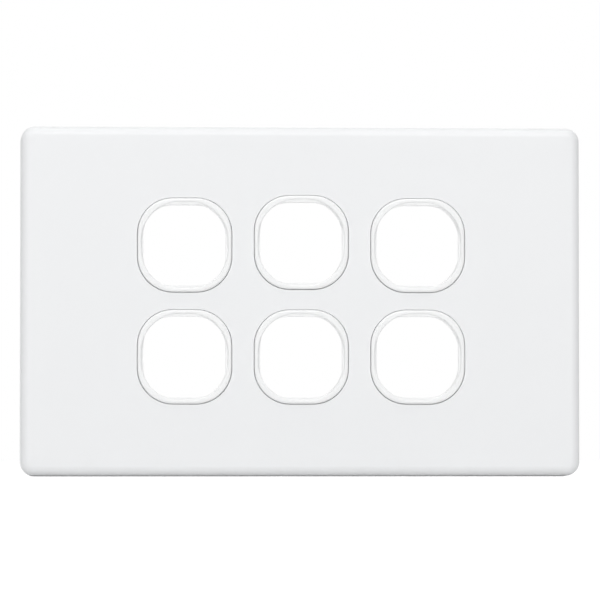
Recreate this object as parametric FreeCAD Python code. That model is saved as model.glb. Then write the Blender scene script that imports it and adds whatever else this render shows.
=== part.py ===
import FreeCAD, Part
import math
import os

# Six-gang grid switch plate: a moulded grid that screws to a wall box and takes six switch
# mechanisms from behind, and a screwless front cover that clips over it.
#
# Frame: X runs to the right and Z up, as seen from the room. The wall's surface is the plane
# y = 0, the room is on its -Y side and the wall box on its +Y side. The origin is the middle of
# the plate, on the wall. A "depth" here is a distance out of the wall into the room, so a point
# at some depth has y = -depth, and what reaches back into the wall box has a negative depth.
# All sizes are millimetres.

# The six places for a mechanism, three across and two high, and the gaps between their collars
columns = 3
rows = 2
column_gap = 4.75
row_gap = 3.7
middle_top_rise = 0.6

# Collar round each place, which stands out through the cover
collar_size = 19.55
collar_straight = 4.75
collar_proud = 0.5
collar_outer_break = 0.4
cover_gap = 0.2

# Neck, the void through a collar, with a latch ledge on each side and a flat above and below
collar_wall = 0.795
neck_straight = 2.08
level_flat_inset = 0.53
level_flat_setback = 0.2
latch_flat_inset = 0.43
latch_setback = 0.8
latch_thickness = 1.4

# Front cover, sized by its margins beyond the outermost collars
end_margin = 24.425
edge_margin = 15.1
cover_corner_r = 3.0
face_depth = 9.5
face_wall = 1.8
side_wall = 1.6
side_draft_deg = 1.5
front_edge_r = 2.0

# Grid: web, skirt, and the shoulders and rails that the cover rests on
web_gap = 0.7
web_thickness = 1.8
skirt_wall = 1.4
grid_corner_r = 1.4
grid_clearance = 0.35
shoulder_width = 1.4
rail_width = 1.4
rail_end_gap = 16.5
rail_inset = 6.0

# Sockets behind the collars, which hold the mechanisms
upright_partition = 2.0
level_partition = 2.05
socket_corner_r = 0.8
socket_wall = 1.4
socket_reach = 3.0
catch_length = 7.0
catch_height = 2.2
catch_from_web = 4.0

# Fixing screws and their slotted bosses
screw_inset = 16.5
thread_r = 1.75
shank_r = 1.55
screw_length = 20.0
screw_point = 0.7
head_r = 3.5
head_height = 2.1
head_edge = 0.7
head_top_r = 2.0
driver_slot_width = 1.0
driver_slot_depth = 0.9
slot_clearance = 0.25
slot_travel = 2.0
seat_drop = 0.6
head_clearance = 0.5
boss_wall = 1.5

# Stiffening ribs behind the web
rib_thickness = 1.2
rib_height = 3.8

# Clips that hold the cover: a tab with a barb goes through a window and hooks behind the web
clip_inset = 20.5
clip_width = 6.4
clip_thickness = 1.0
clip_side_gap = 0.5
clip_play = 0.1
clip_flex_gap = 0.7
barb_catch = 0.5
barb_length = 1.7
barb_flat = 0.57
barb_tip = 0.5
barb_seat_gap = 0.1

# Worked out from the sizes above
column_pitch = collar_size + column_gap
row_pitch = collar_size + row_gap
cover_width = (columns - 1) * column_pitch + collar_size + 2 * end_margin
cover_height = (rows - 1) * row_pitch + collar_size + 2 * edge_margin
side_lean = face_depth * math.tan(math.radians(side_draft_deg))
inner_face_depth = face_depth - face_wall
inner_lean = inner_face_depth * math.tan(math.radians(side_draft_deg))
collar_corner_r = (collar_size - collar_straight) / 2
collar_depth = face_depth + collar_proud
mouth_size = collar_size + 2 * cover_gap
mouth_corner_r = collar_corner_r + cover_gap
neck_size = collar_size - 2 * collar_wall
neck_corner_r = (neck_size - neck_straight) / 2
web_front = inner_face_depth - web_gap
web_back = web_front - web_thickness
grid_width = cover_width - 2 * (side_wall + side_lean + grid_clearance)
grid_height = cover_height - 2 * (side_wall + side_lean + grid_clearance)
skirt_inner_width = grid_width - 2 * skirt_wall
skirt_inner_height = grid_height - 2 * skirt_wall
socket_width = column_pitch - upright_partition
socket_height = row_pitch - level_partition
sockets_end = (columns - 1) * column_pitch / 2 + socket_width / 2 + socket_wall
sockets_top = (rows - 1) * row_pitch / 2 + socket_height / 2
rail_length = cover_height - 2 * rail_end_gap
rib_back = web_back - rib_height
screw_x = cover_width / 2 - screw_inset
seat_depth = web_back - seat_drop
slot_r = thread_r + slot_clearance
recess_r = head_r + head_clearance
boss_r = recess_r + boss_wall
clip_x = cover_width / 2 - clip_inset
window_height = clip_play + clip_thickness + clip_flex_gap
window_bottom = skirt_inner_height / 2 - window_height
tiny = 1e-5
past = 1.0


def places():
    """Centres (x, z) of the six mechanism places. The middle one of the top row sits a little higher."""
    centres = []
    for column in range(columns):
        for row in range(rows):
            x = (column - (columns - 1) / 2) * column_pitch
            z = (row - (rows - 1) / 2) * row_pitch
            if x == 0 and z > 0:
                z += middle_top_rise
            centres.append((x, z))
    return centres


def outline(width, height, radius, depth, x=0.0, z=0.0):
    """Wire of a rounded rectangle that faces the room at one depth."""
    y = -depth
    right, top = width / 2, height / 2
    bulge = radius * (1 - math.sqrt(0.5))
    edges = []
    ends = []
    for sx, sz in [(1, 1), (-1, 1), (-1, -1), (1, -1)]:
        beside = FreeCAD.Vector(x + sx * right, y, z + sz * (top - radius))
        middle = FreeCAD.Vector(x + sx * (right - bulge), y, z + sz * (top - bulge))
        above = FreeCAD.Vector(x + sx * (right - radius), y, z + sz * top)
        turn = (beside, middle, above) if sx == sz else (above, middle, beside)
        edges.append(Part.Arc(*turn).toShape())
        ends.append((turn[0], turn[2]))
    for index, (_, leave) in enumerate(ends):
        arrive = ends[(index + 1) % len(ends)][0]
        edges.append(Part.LineSegment(leave, arrive).toShape())
    return Part.Wire(Part.__sortEdges__(edges))


def block(width, height, radius, back, front, x=0.0, z=0.0):
    """Straight-sided block of rounded outline between two depths."""
    face = Part.Face(outline(width, height, radius, back, x, z))
    return face.extrude(FreeCAD.Vector(0, back - front, 0))


def square(size, radius, back, front, x, z):
    """Block whose outline is a square with rounded corners, round a place."""
    return block(size, size, radius, back, front, x, z)


def obround(radius, back, front, x):
    """Block whose outline is a slot as long as a screw may travel: half circles joined along X."""
    return block(slot_travel + 2 * radius, 2 * radius, radius - tiny, back, front, x)


def tapered(width, height, radius, back, front, lean):
    """Block whose sides lean in between its back and its front, as a moulding's draft does."""
    near = outline(width, height, radius, back)
    far = outline(width - 2 * lean, height - 2 * lean, radius - lean, front)
    return Part.makeLoft([near, far], True, True)


def bar(side_a, side_b, level_a, level_b, back, front):
    """Plain rectangular block between two x, two z and two depths. The pairs go in either order."""
    left, right = sorted((side_a, side_b))
    low, high = sorted((level_a, level_b))
    corner = FreeCAD.Vector(left, -front, low)
    return Part.makeBox(right - left, front - back, high - low, corner)


def edges_at(shape, depth):
    """Edges of a shape that lie wholly at one depth."""
    return [e for e in shape.Edges if all(abs(v.Y + depth) < tiny for v in e.Vertexes)]


def one_solid(shape):
    """The single solid of a finished piece, with its coplanar faces joined."""
    clean = shape.removeSplitter()
    if len(clean.Solids) != 1 or not clean.isValid():
        raise ValueError(f"expected one valid solid, found {len(clean.Solids)}")
    return clean.Solids[0]


def clip_tab(x, side):
    """One clip of the cover: a tab from its inner face with a barb that hooks behind the web."""
    inner = window_bottom + clip_play
    outer = inner + clip_thickness
    hook = window_bottom - barb_catch
    catch = web_back - barb_seat_gap
    tip = catch - barb_length
    profile = [
        (inner, inner_face_depth + tiny),
        (inner, catch),
        (hook, catch),
        (hook, catch - barb_flat),
        (outer - barb_tip, tip),
        (outer, tip),
        (outer, inner_face_depth + tiny),
    ]
    left = x - clip_width / 2
    points = [FreeCAD.Vector(left, -depth, side * z) for z, depth in profile]
    face = Part.Face(Part.makePolygon(points + points[:1]))
    return face.extrude(FreeCAD.Vector(clip_width, 0, 0))


def front_cover():
    """Clip-on cover: a drafted shell with rounded front edges, six mouths and six clips."""
    shell = tapered(cover_width, cover_height, cover_corner_r, 0, face_depth, side_lean)
    shell = shell.makeFillet(front_edge_r, edges_at(shell, face_depth))
    inner_width = cover_width - 2 * side_wall
    inner_height = cover_height - 2 * side_wall
    inner_corner_r = cover_corner_r - side_wall
    hollow = tapered(inner_width, inner_height, inner_corner_r, 0, inner_face_depth, inner_lean)
    back = inner_face_depth - past
    front = face_depth + past
    mouths = [square(mouth_size, mouth_corner_r, back, front, x, z) for x, z in places()]
    shell = shell.cut(hollow).cut(mouths)
    clips = [clip_tab(x, side) for x in (-clip_x, 0, clip_x) for side in (-1, 1)]
    return one_solid(shell.fuse(clips))


def neck(back, front, x, z):
    """Void through a collar, a soft square."""
    return square(neck_size, neck_corner_r, back, front, x, z)


def guide_flats(x, z):
    """Four flats that stand in a neck. The upright two are ledges that a mechanism snaps behind."""
    beyond = neck_size / 2 + past
    latch_front = collar_depth - latch_setback
    latch_back = latch_front - latch_thickness
    half = neck_size / 2 - latch_flat_inset
    between = bar(x - half, x + half, z - beyond, z + beyond, latch_back, latch_front)
    latches = neck(latch_back, latch_front, x, z).cut(between)
    level_front = collar_depth - level_flat_setback
    half = neck_size / 2 - level_flat_inset
    between = bar(x - beyond, x + beyond, z - half, z + half, web_back, level_front)
    levels = neck(web_back, level_front, x, z).cut(between)
    return latches.Solids + levels.Solids


def collar(x, z):
    """Raised ring with its rim's edge broken, from the back of the web to just proud of the cover."""
    ring = square(collar_size, collar_corner_r, web_back, collar_depth, x, z)
    ring = ring.makeChamfer(collar_outer_break, edges_at(ring, collar_depth))
    ring = ring.cut(neck(web_back - past, collar_depth + past, x, z))
    return ring.fuse(guide_flats(x, z))


def shoulder(x, z):
    """Step round a collar that carries the cover's inner face."""
    size = collar_size + 2 * shoulder_width
    return square(size, collar_corner_r + shoulder_width, web_back, inner_face_depth, x, z)


def socket_box(x, z):
    """Outside of the box behind a collar that holds a mechanism."""
    width = socket_width + 2 * socket_wall
    height = socket_height + 2 * socket_wall
    return block(width, height, socket_corner_r, -socket_reach, web_back, x, z)


def place_voids(x, z):
    """What is empty at a place: the socket's inside, the collar's bore and the catch windows."""
    back = -socket_reach - past
    inside = block(socket_width, socket_height, socket_corner_r, back, web_back, x, z)
    bore = square(collar_size, collar_corner_r, web_back, collar_depth, x, z)
    side = socket_width / 2 + socket_wall + past
    half = catch_length / 2
    low = web_back - catch_from_web
    windows = bar(x - side, x + side, z - half, z + half, low, low + catch_height)
    return [inside, bore, windows]


def end_parts(side):
    """What stiffens a blank end of the grid: the screw's boss, two ribs and the cover's rail."""
    half = rib_thickness / 2
    outer = skirt_inner_width / 2 + tiny
    tall = skirt_inner_height / 2 + tiny
    middle = side * (sockets_end + outer) / 2
    rail_x = side * (grid_width / 2 - rail_inset)
    rail_r = rail_width / 2 - tiny
    return [
        obround(boss_r, 0, web_back, side * screw_x),
        bar(middle - half, middle + half, -tall, tall, rib_back, web_back),
        bar(side * screw_x, side * outer, -half, half, rib_back, web_back),
        block(rail_width, rail_length, rail_r, web_front, inner_face_depth, rail_x),
    ]


def fixing_voids(side):
    """Recess for a screw's head and the slot behind it, which lets the plate be levelled."""
    recess = obround(recess_r, seat_depth, web_front + past, side * screw_x)
    slot = obround(slot_r, -past, seat_depth + past, side * screw_x)
    return [recess, slot]


def long_ribs():
    """Short upright ribs between the sockets and the skirt, above and below."""
    ribs = []
    half = rib_thickness / 2
    for x in (-column_pitch / 2, column_pitch / 2):
        for side in (-1, 1):
            start = side * (sockets_top + socket_wall / 2)
            end = side * (skirt_inner_height / 2 + tiny)
            ribs.append(bar(x - half, x + half, start, end, rib_back, web_back))
    return ribs


def clip_window(x, side):
    """Window in the web, just inside the skirt, that a clip of the cover passes through."""
    half = clip_width / 2 + clip_side_gap
    start = side * window_bottom
    end = side * (window_bottom + window_height)
    return bar(x - half, x + half, start, end, web_back - past, web_front + past)


def grid_plate():
    """Rear moulding in one piece: web, skirt, collars, sockets, screw bosses, ribs and windows."""
    web = block(grid_width, grid_height, grid_corner_r, web_back, web_front)
    skirt = block(grid_width, grid_height, grid_corner_r, 0, web_back)
    skirt_corner_r = grid_corner_r / 2
    inside = block(skirt_inner_width, skirt_inner_height, skirt_corner_r, -past, web_back)
    solids = [web, skirt.cut(inside)] + long_ribs()
    voids = []
    for x, z in places():
        solids += [socket_box(x, z), shoulder(x, z)]
        voids += place_voids(x, z)
    for side in (-1, 1):
        solids += end_parts(side)
        voids += fixing_voids(side)
        voids += [clip_window(x, side) for x in (-clip_x, 0, clip_x)]
    body = solids[0].fuse(solids[1:]).cut(voids)
    return one_solid(body.fuse([collar(x, z) for x, z in places()]))


def mounting_screw(side):
    """Fixing screw with its head on the boss's seat. It is plain in the boss, then threaded."""
    seat = -seat_depth
    top = seat - head_height
    tip = seat + screw_length
    profile = [
        (0, top),
        (head_top_r, top),
        (head_r, seat - head_edge),
        (head_r, seat),
        (shank_r, seat),
        (shank_r, 0),
        (thread_r, 0),
        (thread_r, tip - screw_point),
        (thread_r - screw_point, tip),
        (0, tip),
    ]
    points = [FreeCAD.Vector(r, y, 0) for r, y in profile]
    half = Part.Face(Part.makePolygon(points + points[:1]))
    screw = half.revolve(FreeCAD.Vector(0, 0, 0), FreeCAD.Vector(0, 1, 0), 360)
    reach = head_r + past
    half_slot = driver_slot_width / 2
    head_top = seat_depth + head_height
    slot_floor = head_top - driver_slot_depth
    screw = screw.cut(bar(-reach, reach, -half_slot, half_slot, slot_floor, head_top + past))
    screw.translate(FreeCAD.Vector(side * screw_x, 0, 0))
    return one_solid(screw)


pieces = {
    "front_cover": front_cover(),
    "grid_plate": grid_plate(),
    "mounting_screw_left": mounting_screw(-1),
    "mounting_screw_right": mounting_screw(1),
}
os.makedirs("parts", exist_ok=True)
for name, shape in pieces.items():
    shape.exportStep(f"parts/{name}.step")
    box = shape.BoundBox
    print(f"{name}: {box.XLength:.2f} x {box.YLength:.2f} x {box.ZLength:.2f} mm, {shape.Volume:.0f} mm3")
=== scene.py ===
# %% [markdown]
# # A six-gang grid switch plate in white moulded plastic
# A front cover clips over a rear grid. The grid's six collars stand out through the cover, and
# each one is an empty place for a switch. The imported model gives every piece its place. This
# lesson gives the pieces the rounded rims, threads and finishes that a close look needs.

# %% Load the frame
import math
import bmesh
import bpy
from mathutils import Matrix, Vector


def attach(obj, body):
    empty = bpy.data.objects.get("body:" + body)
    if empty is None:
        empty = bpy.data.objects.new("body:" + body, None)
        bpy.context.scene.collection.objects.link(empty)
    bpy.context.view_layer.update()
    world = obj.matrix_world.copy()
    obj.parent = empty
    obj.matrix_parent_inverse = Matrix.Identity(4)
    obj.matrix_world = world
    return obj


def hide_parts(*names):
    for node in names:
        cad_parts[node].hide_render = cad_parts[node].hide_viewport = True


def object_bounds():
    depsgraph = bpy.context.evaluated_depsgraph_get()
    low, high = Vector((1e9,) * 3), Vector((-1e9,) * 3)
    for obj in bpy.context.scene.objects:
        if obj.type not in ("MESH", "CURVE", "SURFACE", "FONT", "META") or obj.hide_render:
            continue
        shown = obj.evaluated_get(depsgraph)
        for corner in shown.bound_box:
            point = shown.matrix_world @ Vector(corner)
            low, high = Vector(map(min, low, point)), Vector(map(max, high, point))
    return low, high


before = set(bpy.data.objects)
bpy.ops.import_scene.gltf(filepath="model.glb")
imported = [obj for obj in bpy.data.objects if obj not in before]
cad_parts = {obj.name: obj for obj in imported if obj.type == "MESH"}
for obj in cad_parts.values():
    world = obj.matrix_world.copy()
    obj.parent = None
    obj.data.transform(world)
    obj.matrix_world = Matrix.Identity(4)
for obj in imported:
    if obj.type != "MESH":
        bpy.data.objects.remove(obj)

cad_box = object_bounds()
scene = bpy.context.scene
mm = 0.001
print("packed nodes:", sorted(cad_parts))
print("packed box in mm:", [[round(v / mm, 2) for v in corner] for corner in cad_box])

# %% [markdown]
# ## The camera
# The photograph looks almost straight at the plate, from a little to the left and a little
# below. Its perspective is weak, so a long lens from almost a metre away suits it. A camera that
# looks up can't go much further back, because it would sink below the floor that the plate
# stands on.

# %% Camera
frame_width = 600
pixel = 0.20821 * mm
camera_distance = 920 * mm
camera_left = math.radians(3.3)
camera_below = math.radians(2.0)
aim = Vector((-0.26, -9.0, 0.24)) * mm

towards = Vector((-math.tan(camera_left), -1.0, -math.tan(camera_below))).normalized()
camera_data = bpy.data.cameras.new("photo_camera")
camera_data.sensor_width = 36.0
camera_data.lens = 36.0 * camera_distance / (frame_width * pixel)
camera_data.clip_start = 0.01
camera = bpy.data.objects.new("photo_camera", camera_data)
camera.location = aim + towards * camera_distance
camera.rotation_euler = (-towards).to_track_quat("-Z", "Y").to_euler()
scene.collection.objects.link(camera)
scene.camera = camera
print("lens:", round(camera_data.lens, 1), "mm")

# %% [markdown]
# ## Rings and skins
# Every contour on this plate is a rectangle with round corners: the cover's outline, its
# mouths, the collars, the sockets. So one helper draws such a ring. It starts from a grid of a
# single face and bevels its four corners, which gives true arcs. Sweeping a profile along a
# curve would work too, but on these soft squares the inner and outer contours have different
# corners, and a sweep keeps one corner for both.

# %% A rounded ring
corner_steps = 14


def ring(mesh, width, height, radius, depth, x=0.0, z=0.0):
    """Loop of edges round a rounded rectangle that faces the room. Sizes are in millimetres."""
    known = set(mesh.faces)
    corners = bmesh.ops.create_grid(mesh, x_segments=1, y_segments=1, size=0.5)["verts"]
    stand_up = Matrix.Rotation(math.radians(90), 4, "X")
    bmesh.ops.transform(mesh, matrix=stand_up @ Matrix.Diagonal((width, height, 1, 1)), verts=corners)
    bmesh.ops.translate(mesh, vec=(x, -depth, z), verts=corners)
    if radius > 0:
        bmesh.ops.bevel(
            mesh, geom=corners, offset=radius, offset_type="OFFSET", segments=corner_steps,
            profile=0.5, affect="VERTICES", material=-1, clamp_overlap=False,
        )
    face = (set(mesh.faces) - known).pop()
    edges = list(face.edges)
    bmesh.ops.delete(mesh, geom=[face], context="FACES_ONLY")
    return edges


def skin(mesh, rings):
    """Skin over rings in a row. Rings in one plane are set a hair apart while they are bridged."""
    for near, far in zip(rings, rings[1:]):
        points = list({vert for edge in far for vert in edge.verts})
        bmesh.ops.translate(mesh, vec=(0, 0.001, 0), verts=points)
        bmesh.ops.bridge_loops(mesh, edges=near + far)
        bmesh.ops.translate(mesh, vec=(0, -0.001, 0), verts=points)


def fill(mesh, rings):
    """Flat wall between an outline and the holes inside it."""
    edges = [edge for loop in rings for edge in loop]
    bmesh.ops.triangle_fill(mesh, use_beauty=True, use_dissolve=False, edges=edges)


# %% [markdown]
# A rounded rim is a row of rings along a quarter circle. The corners of each ring get rounder
# or tighter by as much as the ring grows or shrinks, so the rim keeps one radius all the way
# round, as a milled mould gives it.

# %% Rounded rims
def quarter(radius, steps, start=0.0, end=90.0):
    """Points (outwards, forwards) of an arc about its own centre, from the side to the front."""
    turns = [math.radians(start + (end - start) * step / steps) for step in range(steps + 1)]
    return [(radius * math.cos(turn), radius * math.sin(turn)) for turn in turns]


def grown(mesh, width, height, radius, depth, growth, x=0.0, z=0.0):
    """Ring moved outwards by some growth, with its corners to suit."""
    return ring(mesh, width + 2 * growth, height + 2 * growth, max(radius + growth, 0.05), depth, x, z)


# %% [markdown]
# ## Finishing a piece
# A mesh is drawn in millimetres, because the plate's sizes are easiest to read that way, and is
# scaled to metres at the end. The object itself stays at the origin. Large flat faces beside
# small rounds shade badly with plain smooth normals, so a Weighted Normal modifier lets the
# flats keep theirs.

# %% From a mesh to a piece
def finished(name, mesh, slot, *nodes):
    """Object of a mesh drawn in millimetres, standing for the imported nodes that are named."""
    bmesh.ops.recalc_face_normals(mesh, faces=mesh.faces)
    bmesh.ops.scale(mesh, vec=(mm, mm, mm), verts=mesh.verts)
    data = bpy.data.meshes.new(name)
    mesh.to_mesh(data)
    mesh.free()
    data.shade_smooth()
    data.set_sharp_from_angle(angle=math.radians(40))
    piece = bpy.data.objects.new(name, data)
    scene.collection.objects.link(piece)
    normals = piece.modifiers.new("flats keep their normals", "WEIGHTED_NORMAL")
    normals.keep_sharp = True
    normals.weight = 100
    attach(piece, "root")
    if nodes:
        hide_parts(*nodes)
    data.calc_loop_triangles()
    print(f"{name}: {len(data.loop_triangles)} triangles")
    return piece


# %% [markdown]
# ## The six places
# The places are three across and two high. The middle one of the top row sits a little higher
# than its neighbours.

# %% Places
column_pitch = 24.3
row_pitch = 23.25
middle_top_rise = 0.6

places = []
for column in (-1, 0, 1):
    for row in (-0.5, 0.5):
        rise = middle_top_rise if column == 0 and row > 0 else 0.0
        places.append((column * column_pitch, row * row_pitch + rise))
print("places:", places)

# %% [markdown]
# ## The front cover
# The real cover is one injection-moulded shell: sides with a little draft so that it leaves the
# mould, a soft front edge, six mouths and, inside, clips that hook behind the grid. It could be
# cut from a block with booleans. Rings and skins are used instead, because they give even strips
# of faces along every round, and the highlights on a glossy edge depend on those. The cover
# hangs on its clips, so the gap above each collar is a hair tighter than the gap below it. A
# narrow flat strip beside each round keeps the round's shading off the large face.

# %% Cover sizes
cover_width, cover_height, cover_corner_r = 117.0, 73.0, 3.0
face_depth, face_wall, side_wall, rear_chamfer = 9.5, 1.8, 1.6, 0.15
draft = math.radians(1.5)
front_edge_r, edge_strip, mouth_strip = 2.0, 0.6, 0.3
mouth_width, mouth_height, mouth_corner_r, mouth_edge_r = 19.76, 19.72, 7.5, 0.1
mouth_drop = 0.02

# %% Cover shell
cover = bmesh.new()
inner_depth = face_depth - face_wall
arc_depth = face_depth - front_edge_r
arc_inset = (arc_depth + front_edge_r * math.sin(draft)) * math.tan(draft) + front_edge_r * math.cos(draft)

outside = [ring(cover, cover_width, cover_height, cover_corner_r, 0)]
outline = (cover_width, cover_height, cover_corner_r)
for out, forward in quarter(front_edge_r, 12, start=math.degrees(draft)):
    outside.append(grown(cover, *outline, arc_depth + forward, out - arc_inset))
outside.append(grown(cover, *outline, face_depth, -arc_inset - edge_strip))
skin(cover, outside)

inner_lean = inner_depth * math.tan(draft)
inner_width, inner_height = cover_width - 2 * side_wall, cover_height - 2 * side_wall
inner_corner_r = cover_corner_r - side_wall
inside = [
    grown(cover, inner_width, inner_height, inner_corner_r, inner_depth, -inner_lean),
    ring(cover, inner_width, inner_height, inner_corner_r, rear_chamfer),
    grown(cover, inner_width, inner_height, inner_corner_r, 0, rear_chamfer),
]
skin(cover, inside + outside[:1])

fronts, backs = [outside[-1]], [inside[0]]
for x, z in places:
    shape, middle = (mouth_width, mouth_height, mouth_corner_r), (x, z - mouth_drop)
    mouth = [grown(cover, *shape, face_depth, mouth_edge_r + mouth_strip, *middle)]
    for out, forward in reversed(quarter(mouth_edge_r, 4)):
        mouth.append(grown(cover, *shape, face_depth - mouth_edge_r + forward, mouth_edge_r - out, *middle))
    mouth.append(ring(cover, *shape, inner_depth, *middle))
    skin(cover, mouth)
    fronts.append(mouth[0])
    backs.append(mouth[-1])
fill(cover, fronts)
fill(cover, backs)

# %% [markdown]
# The clips are flat tabs with a barb. Each is drawn as an outline of a few points and extruded
# to its width, and its root sinks a hair into the cover's inner face, where the two are one
# moulding.

# %% Cover clips
window_bottom, web_back = 31.1013, 5.2
clip_width, clip_thickness, clip_play = 6.4, 1.0, 0.1
barb_reach, barb_front, barb_back, clip_end = 0.5, 5.1, 4.53, 3.4


def clip(mesh, x, side):
    """One clip of the cover, above or below."""
    inner, root = window_bottom + clip_play, inner_depth + 0.02
    outer, barb = inner + clip_thickness, window_bottom - barb_reach
    profile = [
        (inner, root), (inner, barb_front), (barb, barb_front), (barb, barb_back),
        (inner + clip_thickness / 2, clip_end), (outer, clip_end), (outer, root),
    ]
    points = [mesh.verts.new((x - clip_width / 2, -depth, side * z)) for z, depth in profile]
    face = mesh.faces.new(points)
    made = bmesh.ops.extrude_face_region(mesh, geom=[face])["geom"]
    far = [part for part in made if isinstance(part, bmesh.types.BMVert)]
    bmesh.ops.translate(mesh, vec=(clip_width, 0, 0), verts=far)


clip_places = (-38.0, 0.0, 38.0)
for x in clip_places:
    for side in (-1, 1):
        clip(cover, x, side)
print("cover:", len(cover.faces), "faces, open edges:", sum(edge.is_boundary for edge in cover.edges))
cover_piece = finished("cover_shell", cover, "cover_plastic", "front_cover")

# %% [markdown]
# ## The collars
# Each collar is a ring with a full round on its outer rim and a small one on its inner rim. Its
# inner contour is a rounder soft square than its outer one, so the ring is thin at the middle of
# each side and thick at the corners. In its neck stand four flats. The upright two are ledges
# set back from the rim, which a switch snaps behind, and the level two reach almost to the rim.

# %% Collar rings
collar_size, collar_corner_r, collar_depth = 19.55, 7.4, 10.0
collar_outer_r, collar_inner_r = 0.45, 0.25
neck_size, neck_corner_r = 17.96, 7.94
grid = bmesh.new()


def collar(mesh, x, z):
    """One collar, as a closed skin over its outside, its rim and its neck."""
    rings = [ring(mesh, collar_size, collar_size, collar_corner_r, web_back, x, z)]
    for out, forward in quarter(collar_outer_r, 7):
        depth = collar_depth - collar_outer_r + forward
        growth = out - collar_outer_r
        rings.append(grown(mesh, collar_size, collar_size, collar_corner_r, depth, growth, x, z))
    for out, forward in reversed(quarter(collar_inner_r, 5)):
        depth = collar_depth - collar_inner_r + forward
        rings.append(grown(mesh, neck_size, neck_size, neck_corner_r, depth, collar_inner_r - out, x, z))
    rings.append(ring(mesh, neck_size, neck_size, neck_corner_r, web_back, x, z))
    skin(mesh, rings + rings[:1])


for x, z in places:
    collar(grid, x, z)

# %% [markdown]
# Many walls of this plate are flat with holes in them. One helper makes them all: an outline and
# its holes are filled, and the face is extruded to the wall's thickness.

# %% Pierced walls
def pierced(mesh, loops, thickness):
    """Wall with holes, from an outline and holes at its back, extruded towards the room."""
    before = set(mesh.faces)
    fill(mesh, loops)
    faces = [face for face in mesh.faces if face not in before]
    made = bmesh.ops.extrude_face_region(mesh, geom=faces)["geom"]
    front = [part for part in made if isinstance(part, bmesh.types.BMVert)]
    bmesh.ops.translate(mesh, vec=(0, -thickness, 0), verts=front)


# %% [markdown]
# The flats in a neck run into its round corners without an edge. So they are cut from an insert:
# a pierced wall whose hole is a soft square a little smaller than the neck at its sides, while
# its corners lie inside the collar. Two diagonal cuts leave one side of the insert, and the cut
# ends are filled. The cuts run through corner points of the outer ring, so points that lie on a
# cut are taken as they are, and no slivers arise beside them. The flat faces are then joined.

# %% Ledges and flats
latch_reach, level_reach, guide_corner_r, into_collar = 8.55, 8.45, 6.05, 0.3
ledge_back, ledge_front, level_front = collar_depth - 2.2, collar_depth - 0.8, collar_depth - 0.2


def guide(mesh, x, z, direction, back, front):
    """One side of an insert in a neck, towards some direction."""
    insert = bmesh.new()
    around = grown(insert, neck_size, neck_size, neck_corner_r, back, into_collar)
    opening = ring(insert, 2 * latch_reach, 2 * level_reach, guide_corner_r, back)
    pierced(insert, [around, opening], front - back)
    across = Vector((direction.z, 0, direction.x))
    for sign in (-1, 1):
        everything = insert.verts[:] + insert.edges[:] + insert.faces[:]
        bmesh.ops.bisect_plane(
            insert, geom=everything, dist=0.0005, plane_co=(0, 0, 0), plane_no=direction + sign * across,
            clear_inner=True,
        )
        open_edges = [edge for edge in insert.edges if edge.is_boundary]
        bmesh.ops.holes_fill(insert, edges=open_edges, sides=0)
    bmesh.ops.dissolve_limit(insert, angle_limit=math.radians(0.1), verts=insert.verts, edges=insert.edges)
    bmesh.ops.translate(insert, vec=(x, 0, z), verts=insert.verts)
    side = bpy.data.meshes.new("guide")
    insert.to_mesh(side)
    insert.free()
    mesh.from_mesh(side)
    bpy.data.meshes.remove(side)


for x, z in places:
    for sign in (-1, 1):
        guide(grid, x, z, Vector((sign, 0, 0)), ledge_back, ledge_front)
        guide(grid, x, z, Vector((0, 0, sign)), web_back + 0.01, level_front)
print("collars and flats:", len(grid.faces), "faces, open edges:", sum(e.is_boundary for e in grid.edges))

# %% [markdown]
# ## The grid behind them
# Behind the collars the grid is a web with a skirt round it, a box behind each collar for the
# switch, a slotted boss for each screw, and ribs. Web, skirt, bosses and the shoulders round the
# collars are all pierced walls.

# %% Web, skirt, bosses and shoulders
def obround(mesh, radius, depth, x):
    """Slot-shaped ring that lets a screw travel by two millimetres."""
    return ring(mesh, 2 * radius + 2.0, 2 * radius, radius - 0.001, depth, x)


grid_width, grid_height, grid_corner_r = 112.6024, 68.6024, 1.4
web_front, skirt_wall, shoulder_wall = 7.0, 1.4, 1.4
screw_x, seat_depth, boss_r, recess_r, slot_r = 42.0, 4.6, 5.5, 4.0, 2.0
window_width, window_height = 7.4, 1.8

web = [ring(grid, grid_width, grid_height, grid_corner_r, web_back)]
for x, z in places:
    web.append(ring(grid, collar_size, collar_size, collar_corner_r, web_back, x, z))
for side in (-1, 1):
    web.append(obround(grid, recess_r, web_back, side * screw_x))
    for x in clip_places:
        window_z = side * (window_bottom + window_height / 2)
        web.append(ring(grid, window_width, window_height, 0.0, web_back, x, window_z))
pierced(grid, web, web_front - web_back)

skirt = [
    ring(grid, grid_width, grid_height, grid_corner_r, 0),
    ring(grid, grid_width - 2 * skirt_wall, grid_height - 2 * skirt_wall, grid_corner_r / 2, 0),
]
pierced(grid, skirt, web_back + 0.01)
for side in (-1, 1):
    seat = [obround(grid, radius, 0, side * screw_x) for radius in (boss_r, slot_r)]
    pierced(grid, seat, seat_depth)
    recess = [obround(grid, radius, seat_depth - 0.01, side * screw_x) for radius in (boss_r, recess_r)]
    pierced(grid, recess, web_back - seat_depth + 0.02)
for x, z in places:
    shoulder = [
        grown(grid, collar_size, collar_size, collar_corner_r, web_front - 0.01, shoulder_wall, x, z),
        ring(grid, collar_size, collar_size, collar_corner_r, web_front - 0.01, x, z),
    ]
    pierced(grid, shoulder, inner_depth - web_front + 0.01)

# %% [markdown]
# The boxes that take the switches share their walls, so they are one block with six holes. Six
# separate boxes would be easier to draw, but their shared walls would lie in one another and
# flicker. The block's outline is drawn from its corners, with a step where the middle box of the
# top row sits higher.

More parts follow.
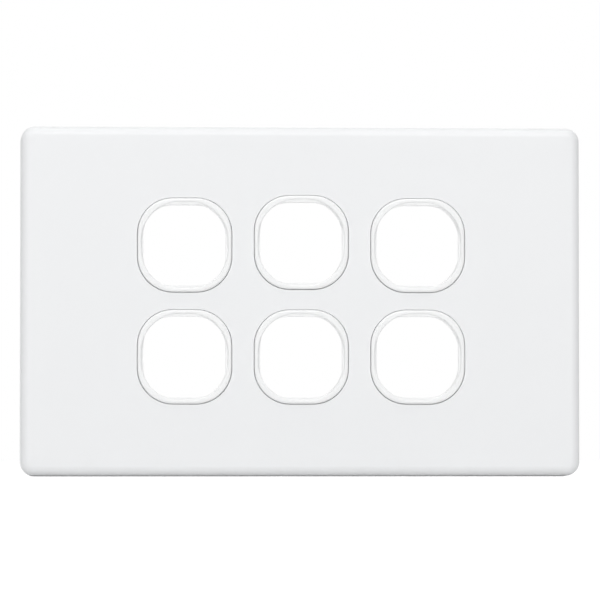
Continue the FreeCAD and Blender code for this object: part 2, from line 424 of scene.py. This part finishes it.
# %% Socket block
socket_width, socket_height, socket_wall, socket_reach = 22.3, 21.2, 1.4, 3.0
sockets_end = column_pitch + socket_width / 2 + socket_wall
sockets_top = row_pitch / 2 + socket_height / 2 + socket_wall


def stepped_outline(mesh, depth):
    """Outline of the six boxes together, with rounded corners."""
    step = socket_width / 2 + socket_wall
    raised = sockets_top + middle_top_rise
    corners = [
        (-sockets_end, -sockets_top), (sockets_end, -sockets_top), (sockets_end, sockets_top),
        (-sockets_end, sockets_top), (step, raised), (-step, raised), (step, sockets_top),
        (-step, sockets_top),
    ]
    points = [mesh.verts.new((x, -depth, z)) for x, z in corners]
    face = mesh.faces.new([points[i] for i in (0, 1, 2, 6, 4, 5, 7, 3)])
    for rounded, rounding in ((points[:4], 0.8), (points[4:6], 0.4)):
        bmesh.ops.bevel(
            mesh, geom=rounded, offset=rounding, offset_type="OFFSET", segments=6,
            profile=0.5, affect="VERTICES", material=-1, clamp_overlap=False,
        )
    edges = [edge for edge in mesh.edges if edge.is_boundary]
    bmesh.ops.delete(mesh, geom=mesh.faces[:], context="FACES_ONLY")
    return edges


sockets = bmesh.new()
loops = [stepped_outline(sockets, -socket_reach)]
loops += [ring(sockets, socket_width, socket_height, 0.8, -socket_reach, x, z) for x, z in places]
pierced(sockets, loops, socket_reach + web_back + 0.01)
print("socket block:", len(sockets.faces), "faces, open edges:", sum(e.is_boundary for e in sockets.edges))

# %% [markdown]
# Each upright wall has a window beside every place, where a switch's side catch springs out.
# They are cut as one would cut them by hand: bisect the block along the windows' edges, take the
# panes out of both sides of a wall, and bridge the rims through the wall's thickness.

# %% Lines of the catch windows
half_window, window_low, window_high = 3.5, web_back - 4.0, web_back - 1.8
lower, upper = -row_pitch / 2, row_pitch / 2
window_spans = {
    "outer": ((lower - half_window, lower + half_window), (upper - half_window, upper + half_window)),
    "shared": (
        (lower - half_window, lower + half_window),
        (upper - half_window, upper + half_window + middle_top_rise),
    ),
}
cuts = {level for spans in window_spans.values() for span in spans for level in span}
for point, normal in (
    [((0, 0, level), (0, 0, 1)) for level in sorted(cuts)]
    + [((0, -depth, 0), (0, 1, 0)) for depth in (window_low, window_high)]
):
    everything = sockets.verts[:] + sockets.edges[:] + sockets.faces[:]
    bmesh.ops.bisect_plane(sockets, geom=everything, plane_co=point, plane_no=normal)
print("socket block, cut along the windows:", len(sockets.faces), "faces")


# %% Catch windows
def cut_window(mesh, wall, span):
    """Opens a window through the wall that lies between two x, over a span of z."""
    panes = []
    for face in mesh.faces:
        middle = face.calc_center_median()
        on_wall = abs(face.normal.x) > 0.9 and wall[0] - 0.1 < middle.x < wall[1] + 0.1
        if on_wall and span[0] < middle.z < span[1] and window_low < -middle.y < window_high:
            panes.append(face)
    edges = {edge for face in panes for edge in face.edges}
    rim = [edge for edge in edges if sum(face in panes for face in edge.link_faces) == 1]
    bmesh.ops.delete(mesh, geom=panes, context="FACES")
    bmesh.ops.bridge_loops(mesh, edges=rim)


far, near = column_pitch + socket_width / 2, column_pitch - socket_width / 2
for side in (-1, 1):
    for kind, wall in (("outer", (far, sockets_end)), ("shared", (socket_width / 2, near))):
        for span in window_spans[kind]:
            cut_window(sockets, sorted(side * x for x in wall), span)
print("with windows:", len(sockets.faces), "faces, open edges:", sum(e.is_boundary for e in sockets.edges))
block = bpy.data.meshes.new("sockets")
sockets.to_mesh(block)
sockets.free()
grid.from_mesh(block)
bpy.data.meshes.remove(block)

# %% [markdown]
# The rest of the grid is plain bars. Two rails carry the cover's blank ends, and thin ribs behind
# the web keep the grid flat: one upright rib through each boss, a short level one beside it, and
# four short ones between the sockets and the skirt. Each bar is a cube scaled to its size, with
# its ends sunk a hair into what it joins.

# %% Ribs and rails
def bar(mesh, left, right, low, high, back, front):
    """Plain bar between two x, two z and two depths."""
    cube = bmesh.ops.create_cube(mesh, size=1.0)["verts"]
    bmesh.ops.scale(mesh, vec=(right - left, front - back, high - low), verts=cube)
    bmesh.ops.translate(mesh, vec=((left + right) / 2, -(back + front) / 2, (low + high) / 2), verts=cube)


inner_x, inner_z = grid_width / 2 - skirt_wall + 0.01, grid_height / 2 - skirt_wall + 0.01
rib_back, rib_front, half_rib = 1.4, web_back + 0.01, 0.6
rail_inset, half_rail, half_rail_length = 6.0, 0.7, 20.0
boss_end, boss_side, ledge_start = 47.6, 3.9, 22.925

for side in (-1, 1):
    rail_x = side * (grid_width / 2 - rail_inset)
    rail = (rail_x - half_rail, rail_x + half_rail, -half_rail_length, half_rail_length)
    bar(grid, *rail, web_front - 0.01, inner_depth)
    level = sorted((side * boss_end, side * inner_x))
    bar(grid, *level, -half_rib, half_rib, rib_back, rib_front)
    for up in (-1, 1):
        boss_rib_x = side * (sockets_end + inner_x) / 2
        end_rib_x = side * column_pitch / 2
        for x, start in ((boss_rib_x, boss_side), (end_rib_x, ledge_start)):
            upright = sorted((up * start, up * inner_z))
            bar(grid, x - half_rib, x + half_rib, *upright, rib_back, rib_front)
print("grid:", len(grid.faces), "faces, open edges:", sum(edge.is_boundary for edge in grid.edges))
grid_piece = finished("grid_moulding", grid, "grid_plastic", "grid_plate")

# %% [markdown]
# ## The fixing screws
# The cover hides two machine screws of 3.5 mm that pull the grid to the wall box. A screw is
# turned on a lathe, so it's spun here: half of its section is drawn as one face, the corners that
# are round on the real head are beveled, and the outline is spun about the screw's axis. The
# section's straight side on the axis is left out, because it would only make slivers.

# %% Screw body
screw_steps = 40
saw_width, slot_floor = 1.0, -5.8


def screw_body(mesh):
    """Head, plain shank and threaded core, spun about the Y axis and closed at both poles."""
    section = [
        (0, -6.7), (2.2, -6.7), (3.5, -5.6), (3.5, -4.6), (1.55, -4.6), (1.55, 0.0),
        (1.38, 0.17), (1.38, 14.75), (0.8, 15.4), (0, 15.4),
    ]
    points = [mesh.verts.new((radius, y, 0)) for radius, y in section]
    face = mesh.faces.new(points)
    for point, rounding in ((points[1], 0.9), (points[2], 0.45), (points[3], 0.12)):
        bmesh.ops.bevel(
            mesh, geom=[point], offset=rounding, offset_type="OFFSET", segments=5,
            profile=0.5, affect="VERTICES", material=-1, clamp_overlap=True,
        )
    outline = [edge for edge in mesh.edges if not all(vert.co.x < 0.001 for vert in edge.verts)]
    bmesh.ops.delete(mesh, geom=mesh.faces[:], context="FACES_ONLY")
    ends = list({vert for edge in outline for vert in edge.verts})
    bmesh.ops.spin(
        mesh, geom=outline + ends, cent=(0, 0, 0), axis=(0, 1, 0), angle=math.radians(360),
        steps=screw_steps, use_merge=True, use_duplicate=False,
    )
    axis_edges = [edge for edge in mesh.edges if not edge.link_faces]
    bmesh.ops.delete(mesh, geom=axis_edges, context="EDGES")
    bmesh.ops.remove_doubles(mesh, verts=mesh.verts, dist=0.0005)


# %% [markdown]
# The driver slot is sawn across the head. The mesh is bisected along the saw's two sides and
# its floor, the faces between them are taken away, and the cut is closed with two walls and a
# floor. A boolean would give the same slot, but it hides what happens at the rim.

# %% Driver slot
def driver_slot(mesh, width, floor_y):
    """Level slot across the head's front."""
    half, hair = width / 2, 0.00005
    sides = [((0, 0, sign * half), (0, 0, 1)) for sign in (1, -1)]
    for point, normal in sides + [((0, floor_y, 0), (0, 1, 0))]:
        everything = mesh.verts[:] + mesh.edges[:] + mesh.faces[:]
        bmesh.ops.bisect_plane(mesh, geom=everything, plane_co=point, plane_no=normal)
    sawn = []
    for face in mesh.faces:
        middle = face.calc_center_median()
        if middle.y < floor_y - hair and abs(middle.z) < half - hair:
            sawn.append(face)
    bmesh.ops.delete(mesh, geom=sawn, context="FACES")
    for sign in (-1, 1):
        rim = {vert for edge in mesh.edges if edge.is_boundary for vert in edge.verts}
        wall = [vert for vert in rim if abs(vert.co.z - sign * half) < hair]
        bmesh.ops.contextual_create(mesh, geom=wall)
    bmesh.ops.contextual_create(mesh, geom=[edge for edge in mesh.edges if edge.is_boundary])


# %% [markdown]
# The thread is one tooth carried round a helix: the tooth's section is a small face, and the
# spin moves it forward by a pitch in every turn. Its foot sinks a little into the core. A
# texture of rings would look like a thread only from far away, and its outline would be smooth.

# %% Thread
thread_r, thread_pitch, thread_turns, steps_in_turn = 1.75, 0.6, 23.75, 28


def thread(mesh):
    """Right-handed thread on the core, from the wall's plane to the point."""
    tooth = [(1.33, 0.06), (thread_r, 0.29), (thread_r, 0.37), (1.33, 0.6)]
    points = [mesh.verts.new((radius, y, 0)) for radius, y in tooth]
    face = mesh.faces.new(points)
    steps = round(thread_turns * steps_in_turn)
    bmesh.ops.spin(
        mesh, geom=[face], cent=(0, 0, 0), axis=(0, 1, 0), angle=math.radians(360) * thread_turns,
        dvec=(0, thread_pitch / steps_in_turn, 0), steps=steps, use_merge=False, use_duplicate=False,
    )


screw_pieces = []
for side, hand in ((-1, "left"), (1, "right")):
    screw = bmesh.new()
    screw_body(screw)
    driver_slot(screw, saw_width, slot_floor)
    thread(screw)
    bmesh.ops.translate(screw, vec=(side * screw_x, 0, 0), verts=screw.verts)
    print("screw:", len(screw.faces), "faces, open edges:", sum(edge.is_boundary for edge in screw.edges))
    screw_pieces.append(finished("fixing_screw_" + hand, screw, "screw_steel", "mounting_screw_" + hand))

# %% [markdown]
# ## Writing a finish
# Finishes are worked out from noise, so they have no image and look the same from any side.
# Wiring nodes one by one is hard to read. So a small class stands for a node's output: adding or
# multiplying two of them adds the Math node, and every other node comes from one method that
# sets its options first and its sockets after.

# %% Outputs that can be reckoned with
class Value:
    """An output socket of a finish. Sums and products of it add their Math nodes."""

    def __init__(self, finish, socket):
        self.finish, self.socket = finish, socket

    def maths(self, operation, first, second):
        return self.finish.add("ShaderNodeMath", {"operation": operation}, {0: first, 1: second})

    def __add__(self, other):
        return self.maths("ADD", self, other)

    def __sub__(self, other):
        return self.maths("SUBTRACT", self, other)

    def __rsub__(self, other):
        return self.maths("SUBTRACT", other, self)

    def __mul__(self, other):
        return self.maths("MULTIPLY", self, other)

    def either(self, other):
        return self.maths("MAXIMUM", self, other)

    __radd__ = __add__
    __rmul__ = __mul__


# %% [markdown]
# A finish is a node tree with nothing in it but what the next cells add. It serves a material
# and the room's world alike.

# %% A tree of nodes
class Finish:
    """Node tree of a material or of the room's world."""

    def __init__(self, owner):
        owner.use_nodes = True
        self.owner, self.tree = owner, owner.node_tree
        self.tree.nodes.clear()

    def add(self, kind, settings=None, sockets=None, output=0):
        """New node: its settings, then the values or links of its sockets."""
        node = self.tree.nodes.new(kind)
        for name, value in (settings or {}).items():
            if name == "stops":
                ramp = node.color_ramp.elements
                while len(ramp) < len(value):
                    ramp.new(0.5)
                for stop, (place, colour) in zip(ramp, value):
                    stop.position, stop.color = place, colour
            else:
                setattr(node, name, value)
        for name, value in (sockets or {}).items():
            if isinstance(value, Value):
                self.tree.links.new(value.socket, node.inputs[name])
            else:
                node.inputs[name].default_value = value
        return Value(self, node.outputs[output] if len(node.outputs) else None)

    def mix(self, share, first, second):
        """Colour between two colours. Sockets 6 and 7 of a Mix node are its colours."""
        return self.add("ShaderNodeMix", {"data_type": "RGBA"}, {0: share, 6: first, 7: second}, 2)

    def surface(self, shader):
        """Ends a material in a shader."""
        self.add("ShaderNodeOutputMaterial", {}, {"Surface": shader})


def noise(finish, place, scale, detail=2.0, roughness=0.5):
    """Soft noise about the middle value 0.5, a number of bumps in a metre."""
    sockets = {"Vector": place, "Scale": scale, "Detail": detail, "Roughness": roughness}
    return finish.add("ShaderNodeTexNoise", {}, sockets)


def object_place(finish):
    """Place on the piece, in metres from the middle of the plate."""
    return finish.add("ShaderNodeTexCoord", output=3)


# %% [markdown]
# ## White moulded plastic
# Cover and grid are urea or ABS in a cool, faintly grey white. Three things tell moulded plastic
# from paint: the tone drifts a little where the melt flowed, the sheen varies where the mould is
# more or less polished, and a fine spark-eroded grain covers the show face. All three are
# small, because the photograph shows an almost even face. The grid has a finer grain than the
# cover, as its collars come from another mould. A mean roughness of 0.30 left faint patches on
# the flat face, and 0.33 leaves none.

# %% Plastic finish
def moulded_plastic(name, pale, deep, sheen, grain_height):
    """White plastic: two near tones, a mean roughness and the height of its grain in metres."""
    finish = Finish(bpy.data.materials.new(name))
    place = object_place(finish)
    flow = noise(finish, place, 22.0, detail=3.0, roughness=0.45)
    wear = noise(finish, place, 140.0, detail=4.0, roughness=0.6)
    grain = noise(finish, place, 5200.0, detail=2.0, roughness=0.55)
    swell = noise(finish, place, 60.0, detail=1.0)
    height = grain + swell * 3.0
    bump = finish.add(
        "ShaderNodeBump", {}, {"Strength": 0.35, "Distance": grain_height, "Height": height},
    )
    shader = finish.add("ShaderNodeBsdfPrincipled", {}, {
        "Base Color": finish.mix(flow * 0.7 + wear * 0.3, (*deep, 1), (*pale, 1)),
        "Roughness": wear * 0.10 + grain * 0.05 + (sheen - 0.075),
        "Normal": bump,
        "IOR": 1.47,
    })
    finish.surface(shader)
    return finish.owner


cover_pale, cover_deep = (0.885, 0.892, 0.90), (0.855, 0.865, 0.875)
# The grid's two tones are paler than the cover's. This is painted light: the paler tone stands in for the
# light that comes through the thin white collars from the bright room behind.
grid_pale_painted_backlight, grid_deep_painted_backlight = (0.93, 0.935, 0.935), (0.905, 0.912, 0.913)
cover_white = moulded_plastic("white_cover_plastic", cover_pale, cover_deep, 0.33, 0.00002)
grid_white_painted_backlight = moulded_plastic("white_grid_plastic", grid_pale_painted_backlight, grid_deep_painted_backlight, 0.33, 0.000012)
cover_piece.data.materials.append(cover_white)
grid_piece.data.materials.append(grid_white_painted_backlight)
print("plastic:", cover_white.name, grid_white_painted_backlight.name)

# %% [markdown]
# ## Zinc-plated steel
# The screws are plated, which leaves a bright grey with faint blue and straw patches. The
# roughness changes in small spots, and fine turning marks run round the head: a wave over the
# distance from the screw's axis. A Mapping node puts that axis at the middle.

# %% Plated steel finish
def plated_steel(name, axis_x):
    """Bright zinc plating for a screw whose axis stands at some x, in metres."""
    finish = Finish(bpy.data.materials.new(name))
    place = object_place(finish)
    centred = finish.add("ShaderNodeMapping", {}, {"Vector": place, "Location": (-axis_x, 0, 0)})
    patches = noise(finish, centred, 420.0, detail=3.0)
    spots = noise(finish, centred, 2600.0, detail=4.0, roughness=0.65)
    tint = finish.add("ShaderNodeValToRGB", {"stops": [
        (0.30, (0.50, 0.54, 0.60, 1)), (0.5, (0.58, 0.585, 0.59, 1)), (0.72, (0.63, 0.61, 0.55, 1)),
    ]}, {"Fac": patches})
    marks = finish.add(
        "ShaderNodeTexWave", {"wave_type": "RINGS", "rings_direction": "Y"},
        {"Vector": centred, "Scale": 1800.0, "Distortion": 1.2, "Detail": 2.0},
        output=1,
    )
    bump = finish.add(
        "ShaderNodeBump", {}, {"Strength": 0.25, "Distance": 0.000015, "Height": marks * 0.7 + spots * 0.3},
    )
    shader = finish.add("ShaderNodeBsdfPrincipled", {}, {
        "Base Color": tint, "Metallic": 1.0, "Roughness": spots * 0.2 + 0.22, "Normal": bump,
    })
    finish.surface(shader)
    return finish.owner


for side, piece in zip((-1, 1), screw_pieces):
    piece.data.materials.append(plated_steel(piece.name + "_zinc", side * screw_x * mm))
print("steel:", [piece.data.materials[0].name for piece in screw_pieces])

# %% [markdown]
# ## The floor
# The plate stands on its lower edge on a plain white floor, with nothing behind it, so its
# openings show white as in the photograph. The floor is white to the camera, and to glossy and
# see-through rays, but light grey to the light itself. So it doesn't throw much light up at the
# lower edge, which stays the darkest round of the plate, and it still takes the shadow. It ends
# two metres away, before the lamps' light on it grows too weak to look white.

# %% Floor
def seen_directly(finish):
    """One for rays from the camera, or on their way through gloss or glass, and else nought."""
    camera_ray = finish.add("ShaderNodeLightPath", output="Is Camera Ray")
    glossy_ray = finish.add("ShaderNodeLightPath", output="Is Glossy Ray")
    clear_ray = finish.add("ShaderNodeLightPath", output="Is Transmission Ray")
    return camera_ray.either(glossy_ray).either(clear_ray)


floor_finish = Finish(bpy.data.materials.new("studio_floor"))
seen = seen_directly(floor_finish)
paper = floor_finish.add("ShaderNodeBsdfDiffuse", {}, {
    "Color": floor_finish.mix(seen, (0.8, 0.8, 0.8, 1), (0.9, 0.9, 0.9, 1)),
})
glow = floor_finish.add("ShaderNodeEmission", {}, {"Color": (1, 1, 1, 1), "Strength": seen * 0.5})
floor_finish.surface(floor_finish.add("ShaderNodeAddShader", {}, {0: paper, 1: glow}))

floor_mesh = bmesh.new()
bmesh.ops.create_grid(floor_mesh, x_segments=1, y_segments=1, size=2.0)
bmesh.ops.translate(floor_mesh, vec=(0, 0, cad_box[0][2]), verts=floor_mesh.verts)
floor_data = bpy.data.meshes.new("studio_floor")
floor_mesh.to_mesh(floor_data)
floor_mesh.free()
floor_data.materials.append(floor_finish.owner)
floor = bpy.data.objects.new("studio_floor", floor_data)
scene.collection.objects.link(floor)
print("floor at z =", round(cad_box[0][2] / mm, 2), "mm")

# %% [markdown]
# ## The light
# The face in the photograph is very even, its top edge is the brightest part and its lower edge
# and sides are darker. That is a pale room with one large soft lamp in front, a long one higher
# up, which draws a highlight along the top edge, and a weak one overhead for the upper rounds.

# %% Lamps
def soft_lamp(name, place, width, height, power):
    """Rectangular lamp that looks at the middle of the plate."""
    data = bpy.data.lights.new(name, "AREA")
    data.shape = "RECTANGLE"
    data.size, data.size_y = width, height
    data.energy = power
    lamp = bpy.data.objects.new(name, data)
    lamp.location = place
    lamp.rotation_euler = (-lamp.location).to_track_quat("-Z", "Y").to_euler()
    scene.collection.objects.link(lamp)
    print(f"{name}: {power} W at {[round(v, 2) for v in place]} m")


soft_lamp("front_lamp", (-0.28, -2.05, 0.31), 2.0, 1.55, 10.1)
soft_lamp("upper_lamp", (-0.19, -1.60, 1.20), 1.7, 0.7, 13.7)
soft_lamp("overhead_lamp", (-0.08, -0.50, 1.95), 1.3, 1.3, 8.8)

# %% [markdown]
# The room is brightest behind the plate, where the photograph has its white backdrop. That light
# comes through the openings, so the walls of the necks stay pale although the front half of the
# room is dimmer. The room's left and right are dimmer still, as dark cards beside a product make
# them, and this shades the plate's upright edges. The direction's Y tells front from back and
# its X tells the sides. Ramps turn both into the room's strength. What is seen directly is plain
# white all round.

# %% Room
world = bpy.data.worlds.new("white_room")
scene.world = world
room = Finish(world)
direction = room.add("ShaderNodeTexCoord", output="Generated")
backwards = room.add("ShaderNodeSeparateXYZ", {}, {"Vector": direction}, output="Y")
sideways = room.add("ShaderNodeSeparateXYZ", {}, {"Vector": direction}, output="X")
front_strength, back_strength, side_strength = 0.37, 1.0, 0.22
behind = room.add("ShaderNodeMapRange", {"interpolation_type": "SMOOTHSTEP"}, {
    "Value": backwards, "From Min": -0.15, "From Max": 0.45,
})
aside = room.add("ShaderNodeMapRange", {"interpolation_type": "SMOOTHSTEP"}, {
    "Value": sideways * sideways, "From Min": 0.10, "From Max": 0.50,
})
straight = behind * (back_strength - front_strength) + front_strength
strength = straight + aside * (side_strength - straight)
lit = room.add("ShaderNodeBackground", {}, {"Color": (1, 1, 1, 1), "Strength": strength})
shown = room.add("ShaderNodeBackground", {}, {"Color": (1, 1, 1, 1), "Strength": 1.0})
backdrop = room.add("ShaderNodeMixShader", {}, {0: seen_directly(room), 1: lit, 2: shown})
room.add("ShaderNodeOutputWorld", {}, {"Surface": backdrop})
scene.view_settings.view_transform = "Standard"
print("room:", front_strength, "in front,", back_strength, "behind,", side_strength, "at the sides")
